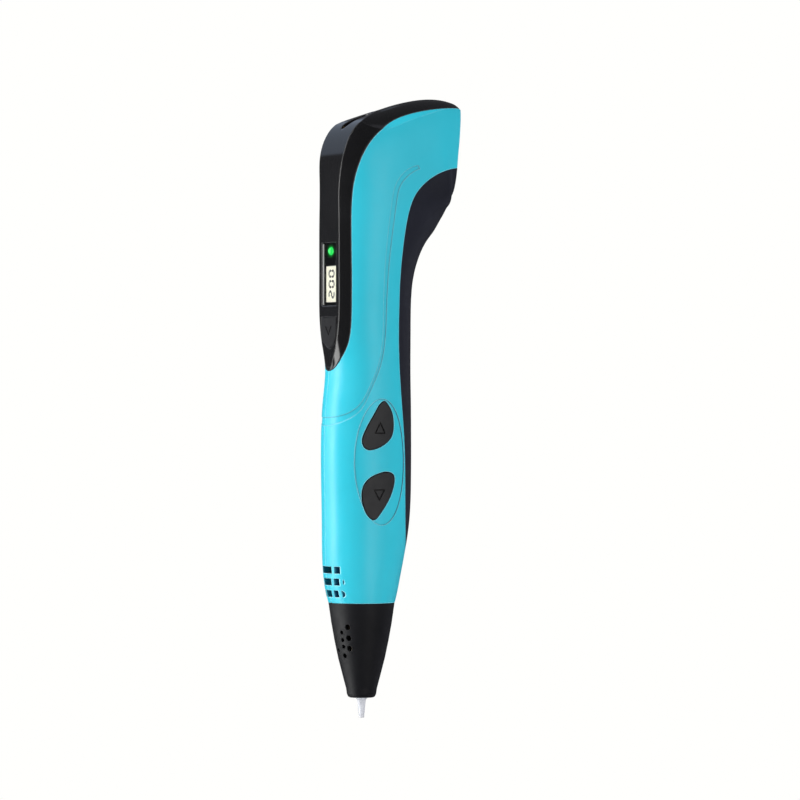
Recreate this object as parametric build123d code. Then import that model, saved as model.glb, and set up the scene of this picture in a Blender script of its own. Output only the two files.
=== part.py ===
"""3D printing pen: a hooked hand-held pen that feeds plastic filament through a heated ceramic nozzle.

Frame, in millimetres: the nozzle tip is the origin, and +Z runs up the filament axis to the inlet.
The display faces -Y, the hooked head reaches towards +Y, and the two feed buttons are on the +X side.
"""

import math
import os
from functools import lru_cache

from build123d import *

os.makedirs("parts", exist_ok=True)

# ---------------------------------------------------------------- driving dimensions: housing
WALL = 1.8              # housing wall
FACET_Y = -10.6         # plane of the display face
FACET_TIP_Z = 103.4     # its pointed lower end
FILAMENT_R = 0.875      # 1.75 mm filament
GUIDE_R = 1.1           # bore of everything the filament runs through
JACK_Z = 173.0          # power jack axis
MOTOR_X, MOTOR_Z = 4.25, 163.0  # feed motor axis, which runs along Y
LAYSHAFT_Z = MOTOR_Z + 3.2      # one gear pair's centre distance above it
TERMINALS_Z = (159.8, 166.2)
IDLER_X, IDLER_Z, IDLER_R = -3.35, 163.0, 2.9
PIVOT_X, PIVOT_Z = -6.6, 170.2  # the idler lever's pin
SECTION_POINTS = 32

# Each station is an oval that spans from a front point to a back point:
# (front y, front z, back y, back z, half width, squareness); 2 is an ellipse and 4 is nearly a rounded box.
STATIONS = [
    (-9.80, 34.0, 9.80, 34.0, 9.8, 2.0),
    (-11.30, 40.6, 11.40, 40.6, 10.5, 2.0),
    (-11.80, 49.0, 13.10, 49.0, 10.9, 2.05),
    (-11.85, 58.0, 14.50, 58.0, 11.0, 2.1),
    (-12.10, 70.0, 15.10, 70.0, 11.0, 2.1),
    (-12.10, 84.0, 15.15, 84.0, 11.0, 2.1),
    (-11.40, 94.5, 15.00, 94.5, 11.1, 2.1),
    (-10.65, 103.0, 14.80, 102.5, 11.3, 2.1),
    (-11.55, 109.5, 14.80, 109.5, 11.6, 2.1),
    (-12.55, 117.0, 14.80, 117.0, 12.0, 2.1),
    (-12.75, 130.0, 15.60, 129.5, 12.2, 2.1),
    (-12.75, 147.0, 19.60, 139.9, 12.5, 2.15),
    (-12.80, 160.0, 22.40, 143.3, 12.8, 2.15),
    (-12.60, 171.0, 24.20, 146.1, 13.0, 2.2),
    (-6.00, 178.6, 25.20, 148.4, 13.0, 2.5),
    (6.00, 182.4, 25.50, 150.2, 12.7, 3.1),
    (17.00, 185.3, 25.60, 151.5, 12.0, 3.6),
    (28.20, 183.6, 25.70, 152.5, 10.6, 4.0),
]
# Side-view lines, (y, z)
TOP_LINE = [            # the display face, carried on up through the head's front until the crown takes over
    (FACET_Y, 153.0), (-10.46, 158.6), (-10.2, 162.8), (-9.1, 168.1), (-7.6, 171.6), (-6.4, 173.4), (-4.5, 175.2),
    (-1.1, 176.9), (3.8, 178.9), (8.0, 180.9), (14.0, 184.0), (30.0, 190.0),
]
END_FACE = [(28.42, 186.4), (23.9, 133.4)]  # the end face's slanted line, carried past the head both ways
COVER_EDGE = [
    (-10.9, 101.7), (-10.3, 102.9), (-9.3, 105.9), (-8.3, 109.5), (-7.8, 113.5), (-7.7, 120.0), (-7.65, 130.0),
    (-7.75, 144.0), (-7.5, 153.0), (-6.5, 160.4), (-4.7, 165.6), (-1.0, 171.0), (3.6, 174.6), (7.3, 176.5),
    (13.4, 178.4), (19.7, 179.5), (30.0, 179.9),
]
GRIP_EDGE = [
    (13.4, 45.5), (11.1, 53.0), (10.3, 60.0), (10.1, 72.0), (9.3, 86.0), (8.4, 93.7), (7.5, 102.5), (7.0, 112.0),
    (7.0, 120.0), (7.35, 131.0), (8.25, 141.3), (9.4, 148.3), (11.4, 153.6), (14.4, 157.2), (20.5, 160.9),
    (30.0, 162.2),
]
# Sections of the head's rounded top, front to back: (y, ridge z, radius at the ridge)
CROWN = [
    (-14.0, 176.5, 12.0), (-8.0, 178.0, 12.0), (-4.0, 178.5, 12.0), (0.0, 178.5, 12.0), (4.0, 179.0, 12.5),
    (8.2, 180.3, 13.5), (14.9, 182.1, 15.0), (21.7, 183.0, 16.5), (28.0, 182.2, 17.0), (31.0, 181.5, 17.0),
]
CROWN_HALF = 16.0
# Styling groove on both sides: its front and its back line
GROOVE_FRONT = [
    (12.4, 162.6), (7.6, 160.4), (4.9, 156.6), (3.9, 152.2), (2.0, 134.7), (1.4, 119.0), (1.2, 109.9),
    (-0.4, 102.3), (-2.9, 96.4), (-5.0, 92.6), (-8.1, 89.9), (-14.0, 88.6),
]
GROOVE_BACK = [
    (12.8, 161.6), (8.8, 159.3), (6.3, 156.1), (5.4, 152.2), (3.3, 134.7), (2.4, 119.0), (2.0, 109.9),
    (0.4, 102.3), (-2.2, 96.2), (-5.2, 90.4), (-8.9, 87.6), (-14.0, 85.4),
]
GROOVE_DEPTH = 0.15
DISH_CENTRE, DISH_RADII, DISH_DEPTH = (1.4, 75.5), (8.0, 18.5), 0.2

# Feed buttons, side view (y, z)
FEED_OUTLINE = [
    (2.6, 93.2), (4.9, 89.8), (5.4, 85.8), (4.6, 82.8), (2.6, 80.9), (-0.5, 79.4), (-3.5, 79.5), (-4.4, 81.4),
    (-3.9, 83.9), (-2.3, 87.2), (-0.1, 91.0), (1.2, 92.8),
]
RETRACT_OUTLINE = [
    (3.8, 72.5), (5.6, 71.4), (5.4, 68.2), (3.5, 64.0), (1.1, 60.6), (-1.3, 58.6), (-2.9, 59.8), (-4.2, 62.9),
    (-4.5, 66.4), (-3.8, 69.0), (-1.8, 71.1), (1.2, 72.3),
]
FEED_GLYPH = [(-0.6, 84.0), (2.3, 84.0), (0.9, 86.9)]
RETRACT_GLYPH = [(-0.9, 67.3), (2.1, 67.3), (0.6, 64.5)]
FEED_SWITCH, RETRACT_SWITCH = (0.5, 86.0), (0.4, 65.8)
BUTTON_PROUD = 0.1      # cap's top, below the oval body's surface
BUTTON_GAP = 0.14       # cap and opening each keep this far from the outline
MARK_DEPTH = 0.35       # arrow mark's groove
BUTTON_TRAVEL = 0.4
BUTTON_LIP = 0.8        # width of the lip that keeps a cap inside the housing

# Display face
LENS_HALF, LENS_Z = 4.75, (121.5, 139.9)
LENS_Y = (-10.0, -9.6)
LCD_HALF, LCD_Z = 3.6, (122.55, 133.05)
LED_Z, LED_R = 137.5, 1.25
MODE_HALF, MODE_TOP, MODE_BOTTOM = 5.0, 118.0, 109.0
DISPLAY_BOARD_Y = (-6.6, -5.8)
BUTTON_BOARD_X = (6.0, 6.8)
MAIN_BOARD_Y = (7.2, 8.2)
BUTTON_SCREWS_Y, BUTTON_SCREWS_Z = (-3.0, 3.8), 76.0
DISPLAY_SCREWS_X, DISPLAY_SCREWS_Z = (-4.4, 4.4), 145.5
SLOT_HALF, SLOT_Y = 2.3, (-6.3, 2.6)     # filament slot in the top of the cover

# Nose
# (z, half length, ribs' distances from the middle)
VENT_ROWS = [(43.8, 6.7, (3.45, 6.25)), (40.3, 6.6, (2.9, 5.75)), (36.8, 6.3, (2.25, 4.95))]
VENT_HEIGHT, VENT_RIB_HALF = 2.0, 0.48
NOSE_HOLES = [  # (angle from the display face, z, radius)
    (37, 27.0, 0.85), (37, 23.8, 0.85), (37, 20.7, 0.85), (21, 25.4, 0.6), (21, 23.2, 0.6), (21, 21.2, 0.6),
    (21, 18.5, 0.75), (0, 20.1, 0.6),
]
HOUSING_SCREWS = [(6.5, 48.0, 8.9), (4.7, 138.0, 11.2), (8.5, 173.4, 11.0)]    # (y, z, head's distance from x=0)
SCREW_R, SCREW_HEAD_R, SCREW_HEAD = 1.0, 1.9, 1.2

# Gears
MODULE, PINION_TEETH, GEAR_TEETH = 0.2, 10, 22


# ---------------------------------------------------------------- small helpers
def block(x, y, z):
    """A box between the two x, the two y and the two z values."""
    box = Box(x[1] - x[0], y[1] - y[0], z[1] - z[0])
    return Pos((x[0] + x[1]) / 2, (y[0] + y[1]) / 2, (z[0] + z[1]) / 2) * box


def rod(radius, start, end):
    """A cylinder between two points."""
    axis = Vector(*end) - Vector(*start)
    upright = (Align.CENTER, Align.CENTER, Align.MIN)
    return Plane(origin=start, z_dir=axis) * Cylinder(radius, axis.length, align=upright)


def pipe(outer_radius, inner_radius, start, end):
    """A round tube between two points."""
    return rod(outer_radius, start, end) - rod(inner_radius, start, end)


def turned(profile):
    """A solid of revolution about Z from an (r, z) outline."""
    outline = Plane.XZ * make_face(Polyline(*profile, close=True))
    return revolve(outline, Axis.Z)


def extruded_x(face, x):
    """A YZ face carried from the first x to the second."""
    return extrude(Pos(x[0], 0, 0) * (Plane.YZ * face), x[1] - x[0])


def extruded_y(face, y):
    """An XZ face carried from the first y to the second."""
    return extrude(Pos(0, y[1], 0) * (Plane.XZ * face), y[1] - y[0])


def side_zone(line, corners):
    """All the space on one side of a side-view line; corners close the outline far outside the part."""
    edges = Spline(*line) + Polyline(line[-1], *corners, line[0])
    return extruded_x(make_face(edges), (-30, 30))


def cable(points, radius):
    """A round wire along straight runs joined by tangent arcs, each as large as its runs allow."""
    bends = []
    for before, corner, after in zip(points, points[1:], points[2:]):
        run_in, run_out = Vector(*corner) - Vector(*before), Vector(*after) - Vector(*corner)
        half_turn = math.radians(run_in.get_angle(run_out) / 2)
        bends.append(0.45 * min(run_in.length, run_out.length) / math.tan(half_turn))
    path = FilletPolyline(*points, radius=bends)
    start = Plane(origin=path @ 0, z_dir=path % 0)
    return sweep(start * Circle(radius), path)


def shifted(line, amount, closed=False):
    """The points of a line moved to its right, square to the line."""
    moved = []
    last = len(line) - 1
    for i, (u, v) in enumerate(line):
        before = line[i - 1] if i or closed else line[i]
        after = line[(i + 1) % len(line)] if i < last or closed else line[i]
        du, dv = after[0] - before[0], after[1] - before[1]
        length = math.hypot(du, dv)
        moved.append((u + amount * dv / length, v - amount * du / length))
    return moved


def superellipse(half_width, half_depth, squareness):
    """The (x, u) points of one oval."""
    points = []
    for i in range(SECTION_POINTS):
        angle = 2 * math.pi * i / SECTION_POINTS
        c, s = math.cos(angle), math.sin(angle)
        x = half_width * math.copysign(abs(c) ** (2 / squareness), c)
        u = half_depth * math.copysign(abs(s) ** (2 / squareness), s)
        points.append((x, u))
    return points


# ---------------------------------------------------------------- housing
def station_wire(station, inset, shift):
    """A station's closed oval, smaller all round by inset and moved along its own normal by shift."""
    front_y, front_z, back_y, back_z, half_width, squareness = station
    span = Vector(0, back_y - front_y, back_z - front_z)
    along = span.normalized()
    normal = Vector(1, 0, 0).cross(along)
    centre = Vector(0, (front_y + back_y) / 2, (front_z + back_z) / 2) + normal * shift
    oval = superellipse(half_width - inset, span.length / 2 - inset, squareness)
    points = [centre + Vector(1, 0, 0) * x + along * u for x, u in oval]
    return Wire([Edge.make_spline(points, periodic=True)])


@lru_cache
def oval_body(inset, below=0.0):
    """The smooth body through all stations. It runs past the end face, and below its lower end if asked."""
    wires = [station_wire(s, inset, 0) for s in STATIONS]
    if below:
        wires.insert(0, station_wire(STATIONS[0], inset, -below))
    wires.append(station_wire(STATIONS[-1], inset, 2.0))
    return Solid.make_loft(wires)


@lru_cache
def side_outline(inset):
    """The side view's outline, extruded across: display face, top line and end face."""
    line = shifted(TOP_LINE, inset)
    top = Spline(*line, tangents=[(0, 1), (1, 0.4)])
    y = FACET_Y + inset
    facet_start = FACET_TIP_Z - (6 if inset else 0)     # well clear of the oval, so that the cut stays clean
    belly = [(60, 181), (60, 20), (y - 12, 20), (y - 12, facet_start - 12), (y, facet_start)]
    rest = Polyline(line[-1], *belly, line[0])
    end_line = shifted(END_FACE, inset)
    in_front = Polyline(*end_line, (end_line[1][0], 0), (-60, 0), (-60, 220), (end_line[0][0], 220), end_line[0])
    return extruded_x(make_face(top + rest), (-30, 30)) & extruded_x(make_face(in_front), (-31, 31))


@lru_cache
def crown(inset):
    """Everything under the arched top of the head."""
    wires = []
    for y, ridge, radius in CROWN:
        arch = []
        for i in range(9):
            x = CROWN_HALF * (i - 4) / 4
            arch.append((x, ridge - x * x / (2 * radius) - inset * math.hypot(1, x / radius)))
        edges = Spline(*arch) + Polyline(arch[-1], (CROWN_HALF, 0), (-CROWN_HALF, 0), arch[0])
        section = Pos(0, y, 0) * (Plane.XZ * make_face(edges))
        wires.append(section.face().outer_wire())
    return Solid.make_loft(wires)


@lru_cache
def body(inset, below=0.0):
    """The whole outside shape, taken in by inset."""
    return (oval_body(inset, below) & crown(inset)) & side_outline(inset)


def housing_wall(zone, features):
    """The wall of the housing within one zone, with the features that stand inside it."""
    cavity = body(WALL, 3.0)
    for feature in features:
        cavity -= feature
    return (body(0) & zone()) - cavity


def left_half():
    return block((-30, 0), (-40, 60), (0, 200))


def right_half():
    return block((0, 30), (-40, 60), (0, 200))


@lru_cache
def cover_zone(gap=0.0):
    """The gloss cover's share of the housing, less a gap along its edge if asked."""
    return side_zone(shifted(COVER_EDGE, -gap), [(60, 179.9), (60, 220), (-60, 220), (-60, 101.7)])


@lru_cache
def grip_zone():
    return side_zone(GRIP_EDGE, [(60, 162.2), (60, 40), (13.4, 40)])


def skin(zone, depth):
    """The outermost layer of the housing within a zone."""
    return (zone & body(0)) - oval_body(depth)


def groove_zone():
    closing = [GROOVE_FRONT[-1], GROOVE_BACK[-1]]
    edges = Spline(*GROOVE_FRONT) + Polyline(*closing) + Spline(*reversed(GROOVE_BACK))
    edges += Polyline(GROOVE_BACK[0], GROOVE_FRONT[0])
    return extruded_x(make_face(edges), (-30, 30))


def dish_zone():
    outline = Pos(*DISH_CENTRE) * Ellipse(*DISH_RADII)
    return extruded_x(outline, (0, 30))


def button_face(points, grow):
    """A feed button's outline, made larger all round by grow."""
    return make_face(Spline(*shifted(points, -grow, closed=True), periodic=True))


def vents():
    """Rows of ventilation slots round the front. Two ribs a side stay standing in each."""
    cuts = []
    for z, half_length, ribs in VENT_ROWS:
        slot = extruded_y(Pos(0, z) * SlotOverall(2 * half_length, VENT_HEIGHT), (-14, -5))
        for rib in ribs:
            for x in (-rib, rib):
                slot -= block((x - VENT_RIB_HALF, x + VENT_RIB_HALF), (-15, 0), (z - 3, z + 3))
        cuts.append(slot)
    return cuts


def across(side, x):
    """The two x values on one side of the parting plane, in rising order."""
    return sorted((side * x[0], side * x[1]))


def board_rails(side):
    """Slotted ribs that hold the main board's edge."""
    board = block((-7.05, 7.05), (MAIN_BOARD_Y[0] - 0.03, MAIN_BOARD_Y[1] + 0.03), (50, 150))
    return [block(across(side, (5.8, 14)), (6.0, 9.6), (z - 0.6, z + 0.6)) - board for z in (75.5, 118.0)]


def chassis_rails(side):
    """Ribs above and below the feed mechanism that hold its plate's edge."""
    plate = block((-9.05, 9.05), (1.97, 3.23), (140, 180))
    return [block(across(side, (8.6, 14)), (0.8, 4.4), (z - 0.7, z + 0.7)) - plate for z in (154.0, 170.0)]


def inner_features(side):
    """Screw towers, ribs and the guide tube's cradle in one half."""
    towers = [rod(SCREW_R + 1.2, (0, y, z), (side * 14, y, z)) for y, z, _ in HOUSING_SCREWS]
    cradle = block(across(side, (0, 14)), (-2.4, 2.1), (50.4, 51.6)) - rod(2.05, (0, 0, 45), (0, 0, 60))
    return towers + board_rails(side) + chassis_rails(side) + [cradle]


def blue_half(side, features):
    """One blue half of the housing, before its openings are cut."""
    solid = housing_wall(left_half if side < 0 else right_half, features)
    solid = solid - cover_zone() - grip_zone() - skin(groove_zone(), GROOVE_DEPTH)
    for cut in vents():
        solid -= cut
    return solid - rod(3.15, (0, 20, JACK_Z), (0, 32, JACK_Z))


def shell_left():
    """The half that the housing screws go in from."""
    solid = blue_half(-1, inner_features(-1))
    for y, z, head_x in HOUSING_SCREWS:
        solid -= rod(SCREW_R + 0.1, (-20, y, z), (0.5, y, z))
        solid -= rod(SCREW_HEAD_R + 0.1, (-20, y, z), (SCREW_HEAD - head_x, y, z))
    return solid


def shell_right():
    """The half with the feed buttons: it has the dish, the two openings and the button board's posts."""
    posts = [rod(1.3, (BUTTON_BOARD_X[1], y, BUTTON_SCREWS_Z), (14, y, BUTTON_SCREWS_Z)) for y in BUTTON_SCREWS_Y]
    solid = blue_half(1, inner_features(1) + posts)
    for y, z, _ in HOUSING_SCREWS:
        solid -= rod(SCREW_R, (-0.5, y, z), (7.5, y, z))
    solid -= skin(dish_zone(), DISH_DEPTH)
    for outline in (FEED_OUTLINE, RETRACT_OUTLINE):
        solid -= extruded_x(button_face(outline, BUTTON_GAP), (7, 30))
    for y in BUTTON_SCREWS_Y:
        solid -= rod(0.7, (6, y, BUTTON_SCREWS_Z), (9.2, y, BUTTON_SCREWS_Z))
    return solid


def mode_face(grow):
    """U-shaped outline of the mode button, (x, z)."""
    half, top, bottom = MODE_HALF + grow, MODE_TOP + grow, MODE_BOTTOM - grow
    sides = Polyline((-half, 114.0), (-half, top), (half, top), (half, 114.0))
    bow = Spline((half, 114.0), (half * 0.8, 111.0), (0, bottom), (-half * 0.8, 111.0), (-half, 114.0),
                 tangents=[(0, -1), (0, 1)])
    return make_face(sides + bow)


def display_cover():
    """The gloss cover that runs over the display face and along the top of the head."""
    posts = [rod(1.2, (x, FACET_Y, DISPLAY_SCREWS_Z), (x, DISPLAY_BOARD_Y[0], DISPLAY_SCREWS_Z))
             for x in DISPLAY_SCREWS_X]
    solid = housing_wall(cover_zone, posts)
    solid -= block((-LENS_HALF - 0.05, LENS_HALF + 0.05), (-14, LENS_Y[1]), (LENS_Z[0] - 0.05, LENS_Z[1] + 0.05))
    solid -= block((-LCD_HALF - 0.1, LCD_HALF + 0.1), (-14, -7), (LCD_Z[0] - 0.1, LCD_Z[1] + 0.1))
    solid -= rod(LED_R + 0.1, (0, -14, LED_Z), (0, -7, LED_Z))
    solid -= extruded_y(mode_face(BUTTON_GAP), (-14, -7))
    slot = Rot(0, 0, 90) * SlotOverall(SLOT_Y[1] - SLOT_Y[0], 2 * SLOT_HALF)
    solid -= extrude(Pos(0, sum(SLOT_Y) / 2, 150) * slot, 40)
    for x in DISPLAY_SCREWS_X:
        solid -= rod(0.6, (x, -8.8, DISPLAY_SCREWS_Z), (x, -6, DISPLAY_SCREWS_Z))
    return solid


def back_cover():
    """The dark cover along the back, up into the hook."""
    return housing_wall(grip_zone, [])


def nose_cone():
    outside = [
        (2.35, 6.0), (3.5, 6.0), (4.0, 6.3), (4.35, 7.1), (4.57, 8.7), (5.5, 12.2), (6.9, 17.6), (8.0, 22.9),
        (8.95, 28.2), (9.75, 33.85), (7.85, 33.85), (7.85, 35.2),
    ]
    inside = [(6.7, 35.2), (6.7, 25.6), (6.4, 22.9), (4.2, 12.2), (3.3, 8.2), (2.35, 7.2)]
    cone = turned(outside + inside)
    for angle, z, radius in NOSE_HOLES:
        for turn in sorted({-angle, angle}):
            hole = rod(radius, (0, -4.5, z), (0, -12, z))
            cone -= Rot(0, 0, turn) * hole
    return cone


# ---------------------------------------------------------------- hot end
def nozzle():
    """Ceramic nozzle: fine tip, seating flange and the long neck that the heater is wound on."""
    outline = [
        (0.35, 0.0), (0.75, 0.0), (1.25, 5.2), (2.1, 6.3), (2.1, 9.0), (1.6, 9.2), (1.6, 28.5), (1.0, 28.5),
        (1.0, 3.0), (0.35, 1.6),
    ]
    return turned(outline)


def heater_coil():
    path = Pos(0, 0, 10.4) * Helix(1.0, 9.0, 1.9)
    start = Plane(origin=path @ 0, z_dir=path % 0)
    return sweep(start * Circle(0.22), path, is_frenet=True)


def insulation_sleeve():
    return pipe(3.0, 2.3, (0, 0, 9.6), (0, 0, 22.0))


def thermistor():
    return Pos(1.2, 2.35, 22.6) * Sphere(0.5)


def hot_end_clamp():
    """Heat-proof holder between the nozzle's neck and the guide tube."""
    outline = [
        (1.65, 24.4), (6.0, 24.4), (6.6, 25.8), (6.6, 34.6), (5.4, 34.6), (5.4, 30.0), (3.4, 30.0), (3.4, 34.6),
        (2.05, 34.6), (2.05, 28.5), (1.65, 28.5),
    ]
    clamp = turned(outline)
    clamp -= block((-2.2, 2.2), (1.8, 3.7), (20, 40))
    for k in range(5):
        clamp -= Rot(0, 0, 150 + 60 * k) * rod(0.7, (4.5, 0, 20), (4.5, 0, 40))
    return clamp


def guide_tube():
    return pipe(2.0, GUIDE_R, (0, 0, 28.6), (0, 0, 157.4))


# ---------------------------------------------------------------- feed mechanism
def inlet_bush():
    """Funnel that leads the filament in."""
    outline = [
        (GUIDE_R, 167.4), (2.6, 167.4), (2.6, 172.6), (3.2, 172.6), (3.2, 174.6), (2.2, 174.6), (GUIDE_R, 172.8),
    ]
    return turned(outline)


def feed_chassis():
    """Moulded plate that lines up the inlet, drive wheel, idler and guide tube."""
    plate = block((-9.0, 9.0), (2.0, 3.2), (152.4, 171.2))
    plate += block((-3.2, 3.2), (-3.2, 2.0), (151.0, 157.8))
    plate += block((-3.2, 3.2), (-3.2, 2.0), (168.2, 172.6))
    plate += block((-9.0, -8.4), (-2.6, 2.0), (154.6, 158.8))
    plate += rod(1.0, (-6.6, 2.0, 170.2), (-6.6, -3.4, 170.2))
    plate -= rod(2.05, (0, 0, 150), (0, 0, 157.4))
    plate -= rod(1.3, (0, 0, 157), (0, 0, 158))
    plate -= rod(2.6, (0, 0, 167.2), (0, 0, 173))
    plate -= rod(2.2, (MOTOR_X, 1, MOTOR_Z), (MOTOR_X, 4, MOTOR_Z))
    plate -= rod(0.9, (-7.4, 1, 154), (-7.4, 4, 154))
    for dz in (-4.5, 4.5):
        plate -= rod(0.85, (MOTOR_X, 1, MOTOR_Z + dz), (MOTOR_X, 4, MOTOR_Z + dz))
        plate -= rod(1.45, (MOTOR_X, 1, MOTOR_Z + dz), (MOTOR_X, 2.6, MOTOR_Z + dz))
    return plate


def screw(head, toe, head_length, radius, head_radius, slot_axis):
    """A pan screw from head to toe with a cross recess."""
    start, end = Vector(*head), Vector(*toe)
    axis = (end - start).normalized()
    neck = start + axis * head_length
    solid = rod(head_radius, start, neck) + rod(radius, neck, end)
    arm = head_radius * 1.1
    recess = Box(arm, 0.3, head_length) + Box(0.3, arm, head_length)
    return solid - Plane(origin=start, z_dir=axis, x_dir=slot_axis) * recess


def chassis_screws():
    return Compound([
        screw((MOTOR_X, 2.0, MOTOR_Z + dz), (MOTOR_X, 3.98, MOTOR_Z + dz), 0.6, 0.8, 1.4, (1, 0, 0)).solid()
        for dz in (-4.5, 4.5)
    ])


def board_screws():
    screws = []
    for y in BUTTON_SCREWS_Y:
        head, toe = (BUTTON_BOARD_X[0] - 0.6, y, BUTTON_SCREWS_Z), (9.0, y, BUTTON_SCREWS_Z)
        screws.append(screw(head, toe, 0.6, 0.7, 1.2, (0, 0, 1)).solid())
    for x in DISPLAY_SCREWS_X:
        head, toe = (x, DISPLAY_BOARD_Y[1] + 0.6, DISPLAY_SCREWS_Z), (x, -8.6, DISPLAY_SCREWS_Z)
        screws.append(screw(head, toe, 0.6, 0.6, 1.1, (1, 0, 0)).solid())
    return Compound(screws)


def housing_screws():
    return Compound([
        screw((-head_x, y, z), (6.9, y, z), SCREW_HEAD, SCREW_R, SCREW_HEAD_R, (0, 0, 1)).solid()
        for y, z, head_x in HOUSING_SCREWS
    ])


def gear_face(teeth, phase):
    """A spur gear outline with straight-sided teeth, (x, z); a tooth's middle is at phase degrees."""
    pitch = 360 / teeth
    radius = MODULE * teeth / 2
    points = []
    for i in range(teeth):
        middle = phase + i * pitch
        root, crest = radius - 0.24, radius + 0.16
        for r, share in ((root, -0.30), (crest, -0.13), (crest, 0.13), (root, 0.30)):
            angle = math.radians(middle + share * pitch)
            points.append((r * math.cos(angle), r * math.sin(angle)))
    return make_face(Polyline(*points, close=True))


def gear(teeth, phase, z, y, bore):
    solid = extruded_y(Pos(MOTOR_X, z) * gear_face(teeth, phase), y)
    if bore:
        solid -= rod(bore, (MOTOR_X, y[0] - 1, z), (MOTOR_X, y[1] + 1, z))
    return solid


def motor_rod(radius, y, z=MOTOR_Z):
    return rod(radius, (MOTOR_X, y[0], z), (MOTOR_X, y[1], z))


def drive_wheel():
    """Toothed wheel that pushes the filament down; a shallow groove keeps the filament centred."""
    radius = MOTOR_X - FILAMENT_R + 0.125
    wheel = motor_rod(radius, (-1.6, 1.4))
    for i in range(30):
        notch = rod(0.26, (radius + 0.12, -4, 0), (radius + 0.12, 4, 0))
        wheel -= Pos(MOTOR_X, 0, MOTOR_Z) * (Rot(0, 12 * i, 0) * notch)
    return wheel - motor_rod(1.0, (-3, 3))


def output_shaft():
    shaft = motor_rod(1.0, (-2.4, 1.4)) + motor_rod(1.5, (1.4, 4.5)) + motor_rod(0.8, (4.5, 7.9))
    return shaft


def output_gear():
    return gear(GEAR_TEETH, 90 + 180 / GEAR_TEETH, MOTOR_Z, (4.5, 6.6), 0.8)


def layshaft_gear():
    wheel = gear(GEAR_TEETH, 270 + 180 / GEAR_TEETH, LAYSHAFT_Z, (8.5, 10.0), 0)
    wheel += gear(PINION_TEETH, 270, LAYSHAFT_Z, (4.6, 8.5), 0)
    return wheel - motor_rod(0.45, (3, 11), LAYSHAFT_Z)


def layshaft_pin():
    return motor_rod(0.4, (3.4, 11.2), LAYSHAFT_Z)


def gearbox_plates():
    """Front, middle and rear plates of the open gearbox."""
    plates = []
    for y in ((3.2, 4.0), (7.1, 7.7), (10.6, 11.2)):
        plate = block((MOTOR_X - 5, MOTOR_X + 5), y, (MOTOR_Z - 6, MOTOR_Z + 6))
        plates.append(plate)
    front, middle, rear = plates
    front -= motor_rod(1.55, (3, 5))
    front -= motor_rod(0.4, (3, 5), LAYSHAFT_Z)
    for dz in (-4.5, 4.5):
        front -= motor_rod(0.8, (3, 5), MOTOR_Z + dz)
    middle -= motor_rod(0.84, (7, 8))
    middle -= motor_rod(1.35, (7, 8), LAYSHAFT_Z)
    rear -= motor_rod(1.3, (10, 12))
    rear -= motor_rod(0.4, (10, 12), LAYSHAFT_Z)
    for x in (-4.1, 4.1):
        front -= rod(0.6, (MOTOR_X + x, 3, MOTOR_Z - 5.0), (MOTOR_X + x, 5, MOTOR_Z - 5.0))
        middle -= rod(0.6, (MOTOR_X + x, 7, MOTOR_Z - 5.0), (MOTOR_X + x, 8, MOTOR_Z - 5.0))
        rear -= rod(0.6, (MOTOR_X + x, 10, MOTOR_Z - 5.0), (MOTOR_X + x, 12, MOTOR_Z - 5.0))
    return Compound([front.solid(), middle.solid(), rear.solid()])


def gearbox_posts():
    posts = []
    for x in (-4.1, 4.1):
        posts.append(rod(0.6, (MOTOR_X + x, 3.2, MOTOR_Z - 5.0), (MOTOR_X + x, 11.2, MOTOR_Z - 5.0)).solid())
    return Compound(posts)


def flattened(radius, half_width, y):
    """A round can with two flats, along Y."""
    return motor_rod(radius, y) & block((MOTOR_X - half_width, MOTOR_X + half_width), y, (100, 200))


def motor_can():
    can = flattened(6.0, 5.0, (11.2, 20.8)) - flattened(5.5, 4.5, (11.8, 22))
    return can - motor_rod(0.54, (11, 12))


def motor_magnets():
    ring = motor_rod(5.5, (12.8, 18.6)) - motor_rod(4.1, (12, 21))
    arcs = ring & block((MOTOR_X - 3.6, MOTOR_X + 3.6), (12, 21), (100, 200))
    return Compound(arcs.solids())


def motor_rotor():
    """Shaft, three-pole armature, commutator and pinion."""
    rotor = motor_rod(0.5, (8.4, 21.4))
    y = (13.0, 18.4)
    for k in range(3):
        arm = block((-0.7, 0.7), y, (0, 3.4))
        shoe = pipe(3.8, 3.2, (0, y[0], 0), (0, y[1], 0)) & block((-2.4, 2.4), y, (0, 4))
        rotor += Pos(MOTOR_X, 0, MOTOR_Z) * (Rot(0, 30 + 120 * k, 0) * (arm + shoe))
    rotor += motor_rod(1.1, (18.9, 20.1))
    rotor += gear(PINION_TEETH, 90, MOTOR_Z, (8.4, 10.1), 0)
    return rotor


def motor_end_cap():
    cap = flattened(5.95, 4.95, (20.8, 21.7))
    cap += flattened(5.45, 4.45, (20.3, 20.8)) - motor_rod(1.6, (20, 20.8))
    return cap - motor_rod(0.54, (20, 21.45))


def motor_terminals():
    x = (MOTOR_X - 0.8, MOTOR_X + 0.8)
    return Compound([block(x, (21.7, 22.7), (z - 0.15, z + 0.15)).solid() for z in TERMINALS_Z])


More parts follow.
